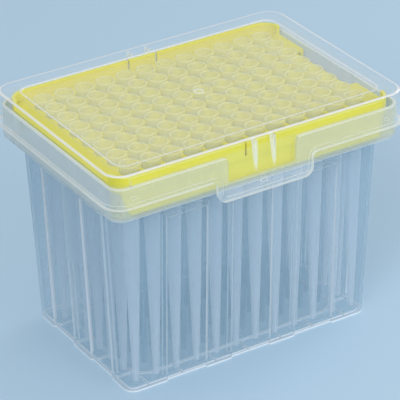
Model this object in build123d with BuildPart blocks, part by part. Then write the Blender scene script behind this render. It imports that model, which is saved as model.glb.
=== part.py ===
from build123d import *
import math
import os

# Lidded box for long pipette tips: a fluted base, a perforated tray that stands on the base's shoulder,
# 96 loose tips in the tray's holes and a lift-off lid. Sizes are in millimetres. +Z is up, +X runs along
# the long side towards the tray's recessed end, and the origin is the middle of the foot, on the ground.

# Grid of holes: the standard 9 mm pitch
columns = 12
rows = 8
pitch = 9.0

# Tips
tip_length = 92.8
collar_height = 3.6
collar_radius = 3.95
barrel_radius = 3.45
point_radius = 1.1
tip_wall = 0.35
bore_depth = 90.0
hole_clearance = 0.12
tip_sides = 8

# Tray
tray_length = 120.8
tray_width = 84.2
tray_corner = 7.5
tray_wall = 1.2
plate_thickness = 1.2
edge_wall_height = 3.8
lip_height = 1.6
low_end_width = 70.0
recess_width = 36.0
recess_depth = 4.4
recess_corner = 2.5
leg_height = 11.8
leg_inset = 0.8
leg_end_inset = 0.4
leg_end_slope = 2.4
leg_foot_radius = 2.5
slit_spacing = 12.6
slit_width = 0.9
slit_depth = 5.5

# Base
base_wall = 1.2
floor_raise = 1.2
floor_thickness = 1.1
tip_floor_gap = 0.5
tray_end_gap = 1.6
tray_side_gap = 0.5
rim_above_plate = 0.8
rim_corner = 6.0
rim_lower_fillet = 1.4
shoulder_step = 5.8
body_draft = 2.8
body_corner = 4.5
shoulder_above_flutes = 7.0
flute_pitch = 29.0
flute_depth = 0.9
long_flute_width = 17.6
short_flute_width = 16.0
long_flutes = 3
short_flutes = 2
notch_width = 30.0
notch_depth = 10.5
notch_lower_radius = 1.2
notch_upper_radius = 1.8
foot_rib_inset = 8.0
foot_rib_thickness = 1.0
foot_rib_pitch = 15.0

# Lid
lid_wall = 1.2
lid_gap = 0.3
lid_draft = 0.5
lid_corner = 7.5
lid_headroom = 0.7
lid_top_fillet = 0.9
panel_depth = 1.2
panel_margin = 7.8
panel_corner = 4.0
panel_fillet = 0.4
gate_mark_radius = 2.2
gate_mark_height = 0.3
skirt_overlap = 7.4
tongue_width = 42.0
tongue_drop = 9.1
tongue_corner = 4.0
tongue_root_radius = 2.0
bead_width = 2.1
bead_proud = 0.4
fin_spacing = 8.0
fin_thickness = 1.0
fin_clearance = 0.3
fin_end_above_notch = 1.5
stop_spacing = 111.2
stop_thickness = 1.2
detent_drop = 4.0
detent_clearance = 0.25
detent_length = 2.7
detent_height = 1.3
catch_length = 3.4

# Levels, from the ground up
floor_top = floor_raise + floor_thickness
tip_bottom = floor_top + tip_floor_gap
tip_top = tip_bottom + tip_length
plate_top = tip_top - collar_height
shoulder_top = plate_top - leg_height
shoulder_bottom = shoulder_top - base_wall
flute_top = shoulder_bottom - shoulder_above_flutes
rim_top = plate_top + rim_above_plate
panel_bottom = tip_top + lid_headroom
panel_top = panel_bottom + lid_wall
lid_top = panel_top + panel_depth
lid_ceiling = lid_top - lid_wall
skirt_bottom = rim_top - skirt_overlap
tongue_bottom = skirt_bottom - tongue_drop
notch_bottom = rim_top - notch_depth
plate_bottom = plate_top - plate_thickness
edge_wall_top = plate_top + edge_wall_height
inner_ledge = flute_top + base_wall
fin_bottom = notch_bottom + fin_end_above_notch

# Outlines, from the tray outwards
rim_inner_length = tray_length + 2 * tray_end_gap
rim_inner_width = tray_width + 2 * tray_side_gap
rim_length = rim_inner_length + 2 * base_wall
rim_width = rim_inner_width + 2 * base_wall
body_top_length = rim_length - 2 * shoulder_step
body_top_width = rim_width - 2 * shoulder_step
foot_length = body_top_length - 2 * body_draft
foot_width = body_top_width - 2 * body_draft
foot_thickness = base_wall + flute_depth
ring_length = foot_length - 2 * foot_rib_inset
ring_width = foot_width - 2 * foot_rib_inset
rib_reach = foot_rib_inset - foot_thickness
long_ribs = int(ring_length / foot_rib_pitch) + 1
short_ribs = int(ring_width / foot_rib_pitch) + 1
leg_top_reach = tray_length / 2 - leg_inset - tray_wall - leg_end_inset
leg_foot_reach = leg_top_reach - leg_end_slope
lid_length = rim_length + 2 * (lid_gap + lid_wall)
lid_width = rim_width + 2 * (lid_gap + lid_wall)
panel_length = lid_length - 2 * panel_margin
panel_width = lid_width - 2 * panel_margin
reach = lid_length + lid_width + lid_top


def rounded_outline(length, width, corner, level):
    with BuildSketch(Plane.XY.offset(level)) as outline:
        RectangleRounded(length, width, corner)
    return outline.sketch


def body_outline(level, inset, fluted):
    """Section of the drafted body at one level, inset from its outer face, with or without the flutes."""
    narrowing = 2 * body_draft * (shoulder_bottom - level) / shoulder_bottom + 2 * inset
    length = body_top_length - narrowing
    width = body_top_width - narrowing
    with BuildSketch(Plane.XY.offset(level)) as outline:
        RectangleRounded(length, width, body_corner - inset)
        if fluted:
            with GridLocations(flute_pitch, width, long_flutes, 2):
                Rectangle(long_flute_width + 2 * inset, 2 * flute_depth, mode=Mode.SUBTRACT)
            with GridLocations(length, flute_pitch, 2, short_flutes):
                Rectangle(2 * flute_depth, short_flute_width + 2 * inset, mode=Mode.SUBTRACT)
    return outline.sketch


def make_base():
    with BuildPart() as base:
        # Drafted body, fluted up to a ledge, then the shoulder and the upright rim
        loft([body_outline(0, 0, True), body_outline(flute_top, 0, True)], ruled=True)
        loft([body_outline(flute_top, 0, False), body_outline(shoulder_bottom, 0, False)], ruled=True)
        rim_block = rounded_outline(rim_length, rim_width, rim_corner, shoulder_bottom)
        extrude(rim_block, rim_top - shoulder_bottom)
        shoulder_face = base.faces().filter_by(Plane.XY).sort_by(Axis.Z)[-2]
        fillet(shoulder_face.outer_wire().edges(), rim_lower_fillet)

        # The rim and the body are hollow, and the flutes show inside too
        rim_cavity = rounded_outline(rim_inner_length, rim_inner_width, rim_corner - base_wall, shoulder_top)
        extrude(rim_cavity, rim_top - shoulder_top, mode=Mode.SUBTRACT)
        fluted_hollow = [body_outline(level, base_wall, True) for level in (floor_top, inner_ledge)]
        loft(fluted_hollow, ruled=True, mode=Mode.SUBTRACT)
        plain_hollow = [body_outline(level, base_wall, False) for level in (inner_ledge, shoulder_top)]
        loft(plain_hollow, ruled=True, mode=Mode.SUBTRACT)

        # The floor is raised inside a foot edge, with a ring of rib and short ribs from it to the foot
        extrude(body_outline(0, foot_thickness, False), floor_raise, mode=Mode.SUBTRACT)
        with BuildSketch() as foot_ribs:
            RectangleRounded(ring_length, ring_width, foot_rib_inset)
            offset(amount=-foot_rib_thickness, mode=Mode.SUBTRACT)
            with GridLocations(foot_rib_pitch, ring_width + rib_reach, long_ribs, 2):
                Rectangle(foot_rib_thickness, rib_reach)
            with GridLocations(ring_length + rib_reach, foot_rib_pitch, 2, short_ribs):
                Rectangle(rib_reach, foot_rib_thickness)
        extrude(foot_ribs.sketch, floor_raise)

        # Notch in the middle of both long rim walls, open at the top, with rounded shoulders
        with BuildSketch(Plane.XZ) as notch:
            with Locations((0, notch_bottom)):
                Rectangle(notch_width, 2 * notch_depth, align=(Align.CENTER, Align.MIN))
            fillet(notch.vertices().group_by(Axis.Y)[0], notch_lower_radius)
        extrude(notch.sketch, reach, both=True, mode=Mode.SUBTRACT)
        rim_ends = base.edges().filter_by(Axis.Y).group_by(Axis.Z)[-1]
        fillet(rim_ends.filter_by(lambda edge: edge.length < 2 * base_wall), notch_upper_radius)
    base.part.label = "base"
    return base.part


def tray_ring(level, inset):
    """Ring that the tray's edge wall and lip follow, and, inset from them, its legs."""
    with BuildSketch(Plane.XY.offset(level)) as ring:
        RectangleRounded(tray_length - 2 * inset, tray_width - 2 * inset, tray_corner - inset)
        offset(amount=-tray_wall, mode=Mode.SUBTRACT)
    return ring.sketch


def make_tray_legs():
    with BuildPart() as legs:
        extrude(tray_ring(shoulder_top, leg_inset), plate_bottom - shoulder_top)
        with BuildSketch(Plane.XZ) as side:
            with BuildLine():
                Polyline(
                    (-leg_top_reach, plate_bottom),
                    (-leg_foot_reach, shoulder_top),
                    (leg_foot_reach, shoulder_top),
                    (leg_top_reach, plate_bottom),
                    close=True,
                )
            make_face()
            fillet(side.vertices().group_by(Axis.Y)[0], leg_foot_radius)
        extrude(side.sketch, reach, both=True, mode=Mode.INTERSECT)
    return legs.part


def make_tray():
    with BuildPart() as tray:
        # Plate with a hole for every tip
        with BuildSketch(Plane.XY.offset(plate_top)) as plate:
            RectangleRounded(tray_length, tray_width, tray_corner)
            with GridLocations(pitch, pitch, columns, rows):
                add(tip_section(0, barrel_radius + hole_clearance), mode=Mode.SUBTRACT)
        extrude(plate.sketch, -plate_thickness)

        # Lip all round under the plate, edge wall above it but for the ends, legs under the long sides
        extrude(tray_ring(plate_bottom, 0), -lip_height)
        with BuildSketch(Plane.XY.offset(plate_top)) as edge:
            add(tray_ring(plate_top, 0))
            Rectangle(reach, low_end_width, mode=Mode.SUBTRACT)
        extrude(edge.sketch, edge_wall_height)
        add(make_tray_legs())

        # Recess in the right-hand end, through plate and lip
        with BuildSketch(Plane.XY.offset(plate_top)) as recess:
            with Locations((tray_length / 2, 0)):
                Rectangle(2 * recess_depth, recess_width)
            fillet(recess.vertices().group_by(Axis.X)[0], recess_corner)
        extrude(recess.sketch, -leg_height, mode=Mode.SUBTRACT)

        # Slits that set a springy tab free in the middle of each long wall
        with BuildSketch(Plane.XY.offset(edge_wall_top)) as slits:
            with GridLocations(slit_spacing, tray_width, 2, 2):
                Rectangle(slit_width, 2 * tray_wall)
        extrude(slits.sketch, -slit_depth, mode=Mode.SUBTRACT)
    tray.part.label = "tray"
    return tray.part


def tip_section(level, radius):
    """Section of a tip or of its hole. With so many of them, a few flat sides stand for the round."""
    with BuildSketch(Plane.XY.offset(level)) as section:
        RegularPolygon(radius, tip_sides, major_radius=False, rotation=180 / tip_sides)
    return section.sketch


def make_tip():
    with BuildPart() as tip:
        barrel_length = plate_top - tip_bottom
        barrel_taper = math.degrees(math.atan2(barrel_radius - point_radius, barrel_length))
        extrude(tip_section(plate_top, barrel_radius), -barrel_length)
        barrel_sides = tip.faces().filter_by(Plane.XY, reverse=True)
        draft(barrel_sides, Plane.XY.offset(plate_top), -barrel_taper)
        extrude(tip_section(plate_top, collar_radius), collar_height)
        bore = [tip_section(tip_top, barrel_radius - tip_wall), Vertex(0, 0, tip_top - bore_depth)]
        loft(bore, ruled=True, mode=Mode.SUBTRACT)
    return tip.part


def make_tip_column(number, tip):
    x = pitch * (number - (columns + 1) / 2)
    with BuildPart() as column:
        with Locations((x, 0)):
            with GridLocations(pitch, pitch, 1, rows):
                add(tip)
    column.part.label = f"tips_column_{number:02d}"
    return column.part


def lid_outline(level, grow):
    """Section of the drafted lid at one level, grown outwards from its outer face."""
    widening = 2 * lid_draft * (lid_top - level) / (lid_top - skirt_bottom) + 2 * grow
    return rounded_outline(lid_length + widening, lid_width + widening, lid_corner + grow, level)


def lid_silhouette(shrink):
    """The lid from the front: a skirt without ends and the tongue below it, shrunk for the bead."""
    with BuildSketch(Plane.XZ) as silhouette:
        with Locations((0, skirt_bottom)):
            Rectangle(reach, reach, align=(Align.CENTER, Align.MIN))
            Rectangle(tongue_width, 2 * tongue_drop)
        fillet(silhouette.vertices().group_by(Axis.Y)[0], tongue_corner)
        tongue_points = silhouette.vertices().filter_by(lambda point: abs(point.X) < tongue_width)
        fillet(tongue_points.group_by(Axis.Y)[-1], tongue_root_radius)
        if shrink:
            offset(amount=-shrink, mode=Mode.REPLACE)
    return silhouette.sketch


def make_lid_bead():
    with BuildPart() as bead:
        loft([lid_outline(tongue_bottom, bead_proud), lid_outline(rim_top, bead_proud)], ruled=True)
        hollow = [lid_outline(level, -lid_wall) for level in (tongue_bottom, rim_top)]
        loft(hollow, ruled=True, mode=Mode.SUBTRACT)
        extrude(lid_silhouette(0), reach, both=True, mode=Mode.INTERSECT)
        extrude(lid_silhouette(bead_width), reach, both=True, mode=Mode.SUBTRACT)
    return bead.part


def lid_inner_face(level):
    """Distance of the lid's long inner walls from the middle at one level."""
    return lid_width / 2 - lid_wall + lid_draft * (lid_top - level) / (lid_top - skirt_bottom)


def add_lid_fins(side):
    """Two tapered guide fins on one long wall; they pass down through the rim's notch."""
    rib_top = lid_ceiling + lid_wall / 2
    for place in (-fin_spacing / 2, fin_spacing / 2):
        with BuildSketch(Plane.YZ.offset(place)) as fin:
            with BuildLine():
                Polyline(
                    (side * (tray_width / 2 + fin_clearance), rib_top),
                    (side * (lid_inner_face(rib_top) + lid_wall / 2), rib_top),
                    (side * (lid_inner_face(fin_bottom) + lid_wall / 2), fin_bottom),
                    close=True,
                )
            make_face()
        extrude(fin.sketch, fin_thickness / 2, both=True)


def add_lid_stops(side):
    """Two short ribs on one long wall that stand on the top of the rim and carry the lid."""
    rib_top = lid_ceiling + lid_wall / 2
    with BuildSketch(Plane.XY.offset(rim_top)) as stops:
        inner = rim_inner_width / 2
        outer = lid_inner_face(rim_top) + lid_wall / 2
        with Locations((0, side * (inner + outer) / 2)):
            with GridLocations(stop_spacing, pitch, 2, 1):
                Rectangle(stop_thickness, outer - inner)
    extrude(stops.sketch, rib_top - rim_top)


def add_lid_detents(side):
    """Shallow bumps inside one long wall: two beside the rim, and a catch on the tongue below the rim."""
    face = rim_width / 2 + detent_clearance
    root = lid_inner_face(tongue_bottom) + lid_wall / 2
    with BuildSketch(Plane.XZ.offset(-side * face)) as bumps:
        with Locations((0, rim_top - detent_drop)):
            with GridLocations(stop_spacing, detent_drop, 2, 1):
                SlotOverall(detent_length, detent_height)
        with Locations((0, shoulder_bottom + detent_height / 2)):
            SlotOverall(catch_length, detent_height)
    extrude(bumps.sketch, -side * (root - face))


def make_lid():
    bead = make_lid_bead()
    with BuildPart() as lid:
        # Drafted cap with a tongue front and back, then its sunk panel and its hollow
        loft([lid_outline(tongue_bottom, 0), lid_outline(lid_top, 0)], ruled=True)
        fillet(lid.faces().sort_by(Axis.Z)[-1].edges(), lid_top_fillet)
        extrude(lid_silhouette(0), reach, both=True, mode=Mode.INTERSECT)
        hollow = [lid_outline(level, -lid_wall) for level in (tongue_bottom, lid_ceiling)]
        loft(hollow, ruled=True, mode=Mode.SUBTRACT)
        with BuildSketch(Plane.XY.offset(panel_bottom)) as pan:
            RectangleRounded(panel_length, panel_width, panel_corner)
            offset(amount=lid_wall)
        extrude(pan.sketch, lid_ceiling - panel_bottom)
        recess = rounded_outline(panel_length, panel_width, panel_corner, panel_top)
        extrude(recess, panel_depth, mode=Mode.SUBTRACT)
        fillet(lid.faces().sort_by(Axis.Z)[-1].inner_wires()[0].edges(), panel_fillet)
        with BuildSketch(Plane.XY.offset(panel_top)) as gate_mark:
            Circle(gate_mark_radius)
        extrude(gate_mark.sketch, gate_mark_height)

        add(bead)
        for side in (-1, 1):
            add_lid_fins(side)
            add_lid_stops(side)
            add_lid_detents(side)
    lid.part.label = "lid"
    return lid.part


os.makedirs("parts", exist_ok=True)
export_step(make_base(), "parts/base.step")
export_step(make_tray(), "parts/tray.step")
export_step(make_lid(), "parts/lid.step")
plain_tip = make_tip()
for number in range(1, columns + 1):
    tip_column = make_tip_column(number, plain_tip)
    export_step(tip_column, f"parts/{tip_column.label}.step")
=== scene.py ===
# Lidded box of long pipette tips: milky base, yellow tray, clear lid and 96 tips. Metres, +Z up, front is -Y.
import math

import bpy
from mathutils import Matrix, Vector


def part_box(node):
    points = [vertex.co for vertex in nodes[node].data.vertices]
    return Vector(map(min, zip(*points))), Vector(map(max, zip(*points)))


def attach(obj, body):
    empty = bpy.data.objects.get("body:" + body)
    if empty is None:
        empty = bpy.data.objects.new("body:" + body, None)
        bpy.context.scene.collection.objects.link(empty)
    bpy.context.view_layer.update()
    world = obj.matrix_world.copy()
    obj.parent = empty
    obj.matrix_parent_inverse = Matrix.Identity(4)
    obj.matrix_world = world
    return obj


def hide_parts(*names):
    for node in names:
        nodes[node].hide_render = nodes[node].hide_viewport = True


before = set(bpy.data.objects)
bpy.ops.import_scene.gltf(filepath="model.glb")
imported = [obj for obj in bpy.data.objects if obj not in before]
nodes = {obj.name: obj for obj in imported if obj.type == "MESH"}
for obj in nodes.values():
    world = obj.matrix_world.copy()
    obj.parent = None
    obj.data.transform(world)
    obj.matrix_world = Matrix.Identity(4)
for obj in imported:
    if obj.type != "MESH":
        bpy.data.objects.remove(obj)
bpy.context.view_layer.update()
scene = bpy.context.scene

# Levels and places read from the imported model
tip_end, tip_top = (corner.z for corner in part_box("tips_column_01"))
tray_side, tray_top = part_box("tray")[1].yz
base_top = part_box("base")[1].z
lid_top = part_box("lid")[1].z

# Grid of tips, and the box round all but the outermost: half length, half width and corner
columns = 12
rows = 8
pitch = 0.009
inner_tips = (pitch * (columns - 2) / 2, pitch * (rows - 2) / 2, 0.001)

# Tip. A pair is a radius and a height above the tip's end
tip_sides = 20
end_bore = 0.0005
end_radius = 0.0011
end_bore_length = 0.0006
lower_barrel = (0.0022, 0.032)
upper_barrel = (0.0029, 0.060)
barrel_radius = 0.00345
collar_radius = 0.00395
collar_height = 0.0036
collar_chamfer = 0.0001
mouth_radius = 0.0033
mouth_chamfer = 0.0002
bore_radius = 0.0030
bore_below_plate = 0.002
bore_bend = (0.0017, 0.030)
plate_top = tip_top - collar_height

# Thickness of the walls of the lid and the base
wall = 0.0012

# Lid, with its sunk panel, latch tongues, guide fins and gate mark
lid_half = (0.0647, 0.0453)
lid_corner = 0.0075
panel_half = (0.0569, 0.0375)
panel_corner = 0.004
panel_depth = 0.0012
panel_top = lid_top - panel_depth
panel_bottom = panel_top - wall
tongue_reach = 0.0235
tongue_end_top = base_top - 0.0115
fin_place = 0.004
fin_half = 0.0006
fin_bottom = 0.0838
gate_sides = 32
gate_inner = 0.0014
gate_outer = 0.0020
gate_height = 0.00025
gate_sunk = 0.0001
gate_round = 0.0001

# Base, with its shoulder, flutes and foot
shoulder = 0.0802
shoulder_bottom = shoulder - wall
body_half = (0.0574, 0.038)
body_corner = 0.004
flute_top = 0.0720
flute_margin = 0.006
foot_half = (0.0546, 0.0352)
floor_top = 0.0023

# Painted highlight lines: their widths and limits, and how near to a level counts as at it
skin = 0.0003
edge_line = 0.0004
lid_edge_line = 0.0013
panel_line_inner = -0.0002
panel_line_outer = 0.0010
fin_line_top = panel_top + 0.0001
fin_line_taper = 0.006
mouth_line = 0.00025
foot_line = (0.0009, 0.0005)
past_body = 0.001
past_floor = 0.0005
flute_roof = flute_top - 0.001

# Painted tints and clouds: the levels, or distances from the middle, where each starts and is full
cloudy = (0.012, 0.062)
rim_milky = (shoulder_bottom, shoulder + 0.002)
# The rim's and the collars' yellow tints are painted light from the tray
rim_tray_light_band = (tray_side - 0.004, tray_side)
collar_tinted = (plate_top - 0.004, plate_top - 0.001)

# The least share of a face's normal along an axis at which the face counts as looking along it
looks_along = 0.5
tongue_side_looks = 0.6
flute_roof_looks = 0.4

# How much the painted-highlight edges and the collars with painted tray light hide, and the least and most that
# clouds multiply the haze by
lid_highlight_cover = 0.92
base_highlight_cover = 0.85
collar_cover = 0.36
clouding = (0.85, 1.15)

# Colours. Where there are two, the plastic is clouded from one to the other
lid_clear = (0.74, 0.81, 0.85, 1)
# The lid's panel, drawn lighter and warmer with painted yellow light from the tray below
panel_tray_lit = (0.80, 0.82, 0.78, 1)
# Painted highlights, near white, on the lid's edges and fins
lid_highlight_white = (0.86, 0.86, 0.83, 1)
base_milk = ((0.30, 0.46, 0.58, 1), (0.42, 0.58, 0.69, 1))
# Painted highlights, near white, along the base's foot, shoulder, rim top and flutes
base_highlight_white = (0.93, 0.93, 0.94, 1)
rim_milk = (0.60, 0.68, 0.68, 1)
# Painted yellow light from the tray, in the rim where the tray's long walls stand behind it
rim_tray_light_yellow = (0.67, 0.69, 0.48, 1)
# Painted shade on the tips further in, darker towards their ends
shaded_inner_tip_end = (0.14, 0.30, 0.43, 1)
shaded_inner_tip_top = (0.35, 0.48, 0.58, 1)
# Painted light: the outermost tips drawn lighter than those further in
lit_outer_tip_milk = ((0.60, 0.69, 0.78, 1), (0.71, 0.78, 0.86, 1))
# Painted highlight along the outermost tips' outlines
tip_outline_highlight = (0.95, 0.96, 1.0, 1)
# Painted yellow light from the tray round the collars
collar_tray_light_yellow = (0.80, 0.79, 0.36, 1)
# Painted highlight round the tips' mouths
mouth_highlight_yellow = (0.86, 0.86, 0.56, 1)
tray_yellow = ((0.72, 0.66, 0.028, 1), (0.79, 0.74, 0.050, 1))
# Painted highlight along the tray's top edges
tray_edge_highlight = (0.88, 0.86, 0.26, 1)
gate_white = ((0.86, 0.86, 0.80, 1), (0.92, 0.92, 0.88, 1))
floor_blue = (0.48, 0.65, 0.79, 1)
world_color = (0.84, 0.88, 0.92, 1)

# Refraction index that sets how strongly the plastics reflect
plastic_ior = 1.5

# Camera, floor and light. A ray along a row of tips passes four surfaces of each
camera_azimuth = math.radians(-31.92)
camera_elevation = math.radians(28.91)
camera_roll = math.radians(-0.92)
camera_distance = 0.943
camera_aim = Vector((-0.00097, -0.00134, 0.05157))
camera_lens = 219.9
camera_sensor = 36
floor_size = 3.0
lamp_aim = Vector((0, 0, 0.05))
world_strength = 0.6
surfaces_passed = 96

# Turned meshes
smooth_angle = math.radians(40)
weld_distance = 0.000001


# Shader maths

class Socket:
    """One output of a node, or a number, with Python's operators for Math nodes."""

    def __init__(self, tree, value):
        self.tree = tree
        self.value = value

    def maths(self, operation, *others):
        """Adds one Math node that works on this value and the others."""
        node = self.tree.nodes.new("ShaderNodeMath")
        node.operation = operation
        for slot, item in zip(node.inputs, (self, *others)):
            plug(self.tree, slot, item)
        return Socket(self.tree, node.outputs[0])

    def __add__(self, other):
        return self.maths("ADD", other)

    __radd__ = __add__

    def __mul__(self, other):
        return self.maths("MULTIPLY", other)

    __rmul__ = __mul__

    def __sub__(self, other):
        return self.maths("SUBTRACT", other)

    def __rsub__(self, other):
        return Socket(self.tree, other).maths("SUBTRACT", self)

    def __pow__(self, other):
        return self.maths("POWER", other)

    def __abs__(self):
        return self.maths("ABSOLUTE")

    def __gt__(self, other):
        return self.maths("GREATER_THAN", other)

    def __lt__(self, other):
        return self.maths("LESS_THAN", other)

    def __or__(self, other):
        return self.maths("MAXIMUM", other)

    def __and__(self, other):
        return self.maths("MINIMUM", other)


def plug(tree, slot, item):
    """Links a socket to an input, or sets the input to a plain value."""
    value = item.value if isinstance(item, Socket) else item
    if isinstance(value, bpy.types.NodeSocket):
        tree.links.new(value, slot)
    else:
        slot.default_value = value


def between(first, second, share):
    """The first value where the share is 0, the second where it is 1."""
    return first + (second - first) * share


class Material:
    """A node material with one Principled shader, and the places and directions of its surface."""

    def __init__(self, name):
        self.material = bpy.data.materials.new(name)
        self.material.use_nodes = True
        self.tree = self.material.node_tree
        self.shader = self.tree.nodes["Principled BSDF"]
        self.place = self.node("ShaderNodeTexCoord", output=3)
        self.x, self.y, self.z = self.split(self.place)
        self.nx, self.ny, self.nz = self.split(self.node("ShaderNodeNewGeometry", output=3))

    def node(self, kind, settings=None, output=0, **inputs):
        """Adds one node with its settings and the values or links of its inputs, and returns an output."""
        node = self.tree.nodes.new(kind)
        for name, value in (settings or {}).items():
            setattr(node, name, value)
        for name, item in inputs.items():
            plug(self.tree, node.inputs[name.replace("_", " ")], item)
        return Socket(self.tree, node.outputs[output])

    def split(self, vector):
        """The X, Y and Z of a vector."""
        parts = self.node("ShaderNodeSeparateXYZ", Vector=vector).value.node.outputs
        return [Socket(self.tree, part) for part in parts]

    def mix(self, factor, first, second):
        """One colour where the factor is 0, another where it is 1."""
        node = self.tree.nodes.new("ShaderNodeMix")
        node.data_type = "RGBA"
        for slot, item in zip((0, 6, 7), (factor, first, second)):
            plug(self.tree, node.inputs[slot], item)
        return Socket(self.tree, node.outputs[2])

    def ramp(self, value, start, full):
        """Smooth change from 0, where the value is at start or before, to 1, where it is at full or past."""
        low, high = sorted((start, full))
        at_low, at_high = (0.0, 1.0) if start < full else (1.0, 0.0)
        limits = {"From_Min": low, "From_Max": high, "To_Min": at_low, "To_Max": at_high}
        return self.node("ShaderNodeMapRange", {"interpolation_type": "SMOOTHSTEP"}, Value=value, **limits)

    def facing(self):
        """0 where the surface is seen face on, 1 where it is seen edge on."""
        return self.node("ShaderNodeLayerWeight", output=1, Blend=0.5)

    def outside(self, half_length, half_width, corner):
        """Distance outside an upright box with rounded corners, less than 0 inside it."""
        past_x = abs(self.x) - (half_length - corner)
        past_y = abs(self.y) - (half_width - corner)
        rounded = ((past_x | 0) ** 2 + (past_y | 0) ** 2) ** 0.5
        return rounded + ((past_x | past_y) & 0) - corner

    def noise(self, scale, drawn_out=1.0):
        """Soft blotches, drawn out along Z where the plastic flowed that way."""
        place = self.node("ShaderNodeMapping", Vector=self.place, Scale=(1, 1, 1 / drawn_out))
        return self.node("ShaderNodeTexNoise", Vector=place, Scale=scale, Detail=2.0)

    def bump(self, height, depth):
        """Raises the surface by the depth, in metres, where the height is 1."""
        self.set(Normal=self.node("ShaderNodeBump", Height=height, Strength=1.0, Distance=depth))

    def haze(self, body, grazing):
        """How much a wall hides: body where it is seen face on, grazing where it is seen edge on."""
        return between(body, grazing, self.facing() ** 2)

    def set(self, **inputs):
        """Sets or links the shader's own inputs."""
        for name, item in inputs.items():
            plug(self.tree, self.shader.inputs[name.replace("_", " ")], item)


# Plastics and floor

def see_through(made, color, cover, onward):
    """Hides what lies behind by the cover. Hazy plastic scatters light onward, so a shadow ray meets less cover,
    by the share onward."""
    shadow = made.node("ShaderNodeLightPath", output=1)
    made.set(Base_Color=color, Alpha=cover * (1 - onward * shadow), IOR=plastic_ior)


def clear_lid_plastic():
    """Clear, glossy plastic, hazier in its panel and at its tongues' ends. Its edges and fins carry painted
    highlights, drawn near white, and its panel is drawn a little warmer with painted yellow light from the tray
    below.
    """
    made = Material("clear_lid_plastic")
    at_top = made.z > lid_top - skin
    from_panel = made.outside(*panel_half, panel_corner)
    outer_edge = (made.outside(*lid_half, lid_corner) > -lid_edge_line) * at_top
    panel_edge = (from_panel > panel_line_inner) * (from_panel < panel_line_outer) * at_top
    below_top = made.z < panel_bottom - wall
    level_edges = (abs(made.nz) > looks_along) * below_top
    tongue_sides = (abs(made.nx) > tongue_side_looks) * (abs(made.x) < tongue_reach) * below_top
    fin_width = fin_half * made.ramp(made.z, fin_bottom, fin_bottom + fin_line_taper)
    on_skirt = (abs(made.y) > tray_side) * (made.z < fin_line_top)
    fins = (abs(abs(made.x) - fin_place) < fin_width) * on_skirt
    # Painted highlights: the lid's edges and fins are drawn near white and more opaque
    painted_highlight = outer_edge * 0.9 | panel_edge * 0.65 | level_edges * 0.8 | tongue_sides * 0.8 | fins * 0.55
    panel = (from_panel < panel_line_inner) * (made.z > panel_bottom - skin)
    tongue_ends = made.z < tongue_end_top
    cover = made.haze(body=0.015, grazing=0.20) + 0.12 * tongue_ends + 0.10 * panel + 0.05 * below_top
    # Painted highlights over the clear plastic, and painted tray light in the panel
    color = made.mix(painted_highlight, made.mix(panel, lid_clear, panel_tray_lit), lid_highlight_white)
    see_through(made, color, between(cover, lid_highlight_cover, painted_highlight), onward=0.9)
    made.set(Roughness=between(0.07, 0.17, made.noise(scale=70)))
    made.bump(made.noise(scale=45), depth=0.00006)
    return made.material


def milky_base_plastic():
    """Milky plastic, cloudier towards the rim, with painted highlights, near-white lines, along the foot, the
    shoulder, the rim and the flutes. The rim takes painted yellow light from the tray where the tray's long
    walls stand behind it."""
    made = Material("milky_base_plastic")
    foot_edge = made.ramp(made.z, *foot_line)
    underside = (abs(made.nz) > looks_along) * (made.z < floor_top - edge_line)
    outside_body = made.outside(*body_half, body_corner) > past_body
    at_shoulder = (made.z < shoulder - edge_line) * (made.z > shoulder_bottom - skin)
    shoulder_edge = outside_body * at_shoulder
    rim_top = made.z > base_top - edge_line
    on_walls = (made.z < shoulder_bottom - skin) * (made.z > floor_top + past_floor)
    long_flutes = (abs(made.nx) > looks_along) * (abs(made.x) < foot_half[0] - flute_margin)
    short_flutes = (abs(made.ny) > looks_along) * (abs(made.y) < foot_half[1] - flute_margin)
    flute_roofs = (abs(made.nz) > flute_roof_looks) * (made.z > flute_roof)
    flutes = (long_flutes | short_flutes | flute_roofs) * on_walls
    # Painted highlights: the foot, shoulder, rim top and flutes are drawn near white and more opaque
    painted_highlight = foot_edge * 0.9 | shoulder_edge * 0.8 | rim_top * 0.6 | flutes * 0.75
    rim = made.ramp(made.z, *rim_milky)
    clouds = made.noise(scale=22, drawn_out=5.0)
    # Painted yellow light from the tray in the rim
    rim_color = made.mix(made.ramp(abs(made.y), *rim_tray_light_band), rim_milk, rim_tray_light_yellow)
    milk = made.mix(rim, made.mix(clouds, *base_milk), rim_color)
    haze = made.haze(body=0.15, grazing=0.55) + 0.12 * made.ramp(made.z, *cloudy)
    milk_cover = haze * between(*clouding, clouds) + 0.08 * rim
    cover = between(milk_cover, base_highlight_cover, painted_highlight) * (1 - 0.9 * underside)
    see_through(made, made.mix(painted_highlight, milk, base_highlight_white), cover, onward=0.8)
    made.set(Roughness=between(0.18, 0.34, made.noise(scale=50, drawn_out=3.0)))
    made.bump(made.noise(scale=60, drawn_out=4.0), depth=0.00004)
    return made.material


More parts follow.
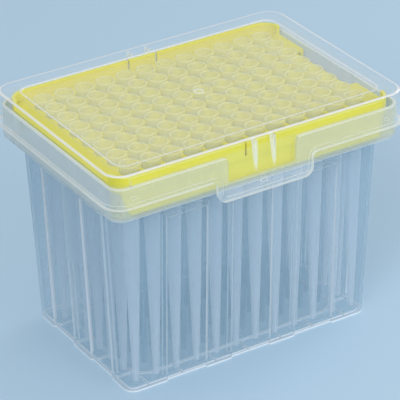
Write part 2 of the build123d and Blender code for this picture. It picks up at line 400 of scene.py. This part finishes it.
def milky_tip_plastic():
    """Milky plastic, with painted yellow light from the tray round the collars and a painted highlight round the
    mouths. The outermost tips get painted light and painted highlights on their outlines; those further in blur
    together in painted shade, darker towards their ends."""
    made = Material("milky_tip_plastic")
    collar = made.ramp(made.z, *collar_tinted)
    mouth = made.z > tip_top - mouth_line
    outermost = made.outside(*inner_tips) > 0
    clouds = made.noise(scale=35, drawn_out=8.0)
    # Painted shade on the tips further in, darker towards their ends; painted light and outline highlights on
    # the outermost
    shaded_inner_milk = made.mix(made.ramp(made.z, *cloudy), shaded_inner_tip_end, shaded_inner_tip_top)
    milk = made.mix(outermost, shaded_inner_milk, made.mix(clouds, *lit_outer_tip_milk))
    barrel = made.mix(outermost * made.facing() ** 2, milk, tip_outline_highlight)
    # Painted yellow light from the tray round the collars, and a painted highlight round the mouths
    color = made.mix(mouth * 0.5, made.mix(collar, barrel, collar_tray_light_yellow), mouth_highlight_yellow)
    haze = made.haze(body=0.10 + 0.22 * outermost, grazing=0.12 + 0.68 * outermost)
    barrel_cover = haze * between(*clouding, clouds)
    cover = between(barrel_cover, collar_cover, collar) + 0.08 * mouth
    see_through(made, color, cover, onward=0.7 + 0.25 * collar)
    made.set(Roughness=between(0.22, 0.38, made.noise(scale=240, drawn_out=2.0)))
    made.bump(made.noise(scale=400, drawn_out=3.0), depth=0.00003)
    return made.material


def yellow_tray_plastic():
    """Satin yellow plastic with a fine grain; a painted highlight makes its top edges a little paler."""
    made = Material("yellow_tray_plastic")
    top_edges = made.z > tray_top - edge_line
    body = made.mix(made.noise(scale=28), *tray_yellow)
    # Painted highlight: the top edges drawn paler
    made.set(Base_Color=made.mix(top_edges * 0.5, body, tray_edge_highlight))
    made.set(Roughness=between(0.34, 0.50, made.noise(scale=120)))
    made.set(IOR=plastic_ior, Specular_IOR_Level=0.3)
    made.bump(made.noise(scale=2600), depth=0.00002)
    return made.material


def gate_plastic():
    """Whitened, slightly rough plastic of the gate mark."""
    made = Material("gate_plastic")
    color = made.mix(made.noise(scale=900), *gate_white)
    see_through(made, color, made.haze(body=0.35, grazing=0.7), onward=0.9)
    made.set(Roughness=between(0.3, 0.5, made.noise(scale=1500)))
    made.bump(made.noise(scale=1200), depth=0.00003)
    return made.material


def pale_floor():
    """Plain, half matt surface under the box."""
    made = Material("pale_floor")
    made.set(Base_Color=floor_blue, Roughness=0.5, Specular_IOR_Level=0.25)
    return made.material


def paint(piece, material):
    """Gives a piece this material and no other."""
    piece.data.materials.clear()
    piece.data.materials.append(material)


# Tips and gate mark

def turned(profile, sides):
    """One mesh of rings round the Z axis, from a closed profile of radii and levels."""
    bpy.ops.object.select_all(action="DESELECT")
    radius, level = profile[0]
    place = (0, 0, level)
    bpy.ops.mesh.primitive_circle_add(vertices=sides, radius=radius, location=place, fill_type="NOTHING")
    piece = bpy.context.object
    bpy.ops.object.transform_apply(location=True)
    bpy.ops.object.mode_set(mode="EDIT")
    bpy.ops.mesh.select_all(action="SELECT")
    for next_radius, next_level in profile[1:]:
        bpy.ops.mesh.extrude_region_move(TRANSFORM_OT_translate={"value": (0, 0, next_level - level)})
        scale = next_radius / radius
        bpy.ops.transform.resize(value=(scale, scale, 1))
        radius, level = next_radius, next_level
    bpy.ops.mesh.select_all(action="SELECT")
    bpy.ops.mesh.remove_doubles(threshold=weld_distance)
    bpy.ops.mesh.normals_make_consistent(inside=False)
    bpy.ops.object.mode_set(mode="OBJECT")
    bpy.ops.object.shade_smooth_by_angle(angle=smooth_angle)
    return piece


def above_end(radius, height):
    """A point of the tip's profile, at a height above the tip's end."""
    return radius, tip_end + height


def make_tip():
    """One tip: its profile goes from the bore's end round the outside to the mouth, and back down the bore."""
    profile = [
        above_end(end_bore, end_bore_length),
        above_end(end_bore, 0),
        above_end(end_radius, 0),
        above_end(*lower_barrel),
        above_end(*upper_barrel),
        (barrel_radius, plate_top),
        (collar_radius - collar_chamfer, plate_top),
        (collar_radius, plate_top + collar_chamfer),
        (collar_radius, tip_top - mouth_chamfer),
        (collar_radius - mouth_chamfer, tip_top),
        (mouth_radius, tip_top),
        (mouth_radius - mouth_chamfer, tip_top - mouth_chamfer),
        (bore_radius, plate_top - bore_below_plate),
        above_end(*bore_bend),
        above_end(end_bore, end_bore_length),
    ]
    return turned(profile, tip_sides)


def make_tip_column(number, tip):
    """One copy of the tip for each row, along Y, joined into one piece."""
    x = pitch * (number - (columns + 1) / 2)
    copies = []
    for row in range(rows):
        copy = tip.copy()
        copy.data = tip.data.copy()
        copy.location = (x, pitch * (row - (rows - 1) / 2), 0)
        scene.collection.objects.link(copy)
        copies.append(copy)
    bpy.ops.object.select_all(action="DESELECT")
    for copy in copies:
        copy.select_set(True)
    bpy.context.view_layer.objects.active = copies[0]
    bpy.ops.object.join()
    column = bpy.context.object
    bpy.ops.object.transform_apply(location=True)
    column.name = f"round_tips_{number:02d}"
    return column


def make_gate_mark():
    """The low ring that the moulding gate leaves in the middle of the lid's panel."""
    low = panel_top - gate_sunk
    high = panel_top + gate_height
    profile = [
        (gate_inner, low),
        (gate_outer, low),
        (gate_outer, high - gate_round),
        (gate_outer - 2 * gate_round, high),
        (gate_inner + gate_round, high),
        (gate_inner, low),
    ]
    mark = turned(profile, gate_sides)
    mark.name = "gate_mark"
    return mark


tip_plastic = milky_tip_plastic()
paint(nodes["lid"], clear_lid_plastic())
paint(nodes["base"], milky_base_plastic())
paint(nodes["tray"], yellow_tray_plastic())
tip = make_tip()
for number in range(1, columns + 1):
    tips = make_tip_column(number, tip)
    paint(tips, tip_plastic)
    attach(tips, "box")
    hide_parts(f"tips_column_{number:02d}")
bpy.data.objects.remove(tip)
gate_mark = make_gate_mark()
paint(gate_mark, gate_plastic())
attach(gate_mark, "lid")


# Floor, lights and camera

bpy.ops.object.select_all(action="DESELECT")
bpy.ops.mesh.primitive_plane_add(size=floor_size)
floor = bpy.context.object
floor.name = "floor"
paint(floor, pale_floor())


def soft_light(name, place, size, power):
    """A round lamp, pointed at the middle of the box."""
    lamp = bpy.data.lights.new(name, "AREA")
    lamp.shape = "DISK"
    lamp.size = size
    lamp.energy = power
    holder = bpy.data.objects.new(name, lamp)
    holder.location = place
    holder.rotation_euler = (lamp_aim - Vector(place)).to_track_quat("-Z", "Y").to_euler()
    scene.collection.objects.link(holder)


soft_light("key_light", place=(-0.9, -0.6, 0.9), size=0.6, power=6.5)
soft_light("fill_light", place=(0.5, -1.2, 0.45), size=0.8, power=6.5)
soft_light("back_light", place=(1.0, 0.3, 0.7), size=0.5, power=3)

world = bpy.data.worlds.new("studio")
scene.world = world
world.use_nodes = True
background = world.node_tree.nodes["Background"]
background.inputs["Color"].default_value = world_color
background.inputs["Strength"].default_value = world_strength

camera = bpy.data.objects.new("camera", bpy.data.cameras.new("camera"))
camera.data.lens = camera_lens
camera.data.sensor_width = camera_sensor
turn = Matrix.Rotation(camera_azimuth, 4, "Z") @ Matrix.Rotation(math.pi / 2 - camera_elevation, 4, "X")
back = turn @ Vector((0, 0, 1))
stand = Matrix.Translation(camera_aim + back * camera_distance)
camera.matrix_world = stand @ turn @ Matrix.Rotation(camera_roll, 4, "Z")
scene.collection.objects.link(camera)
scene.camera = camera

scene.view_settings.view_transform = "Standard"
scene.cycles.transparent_max_bounces = surfaces_passed
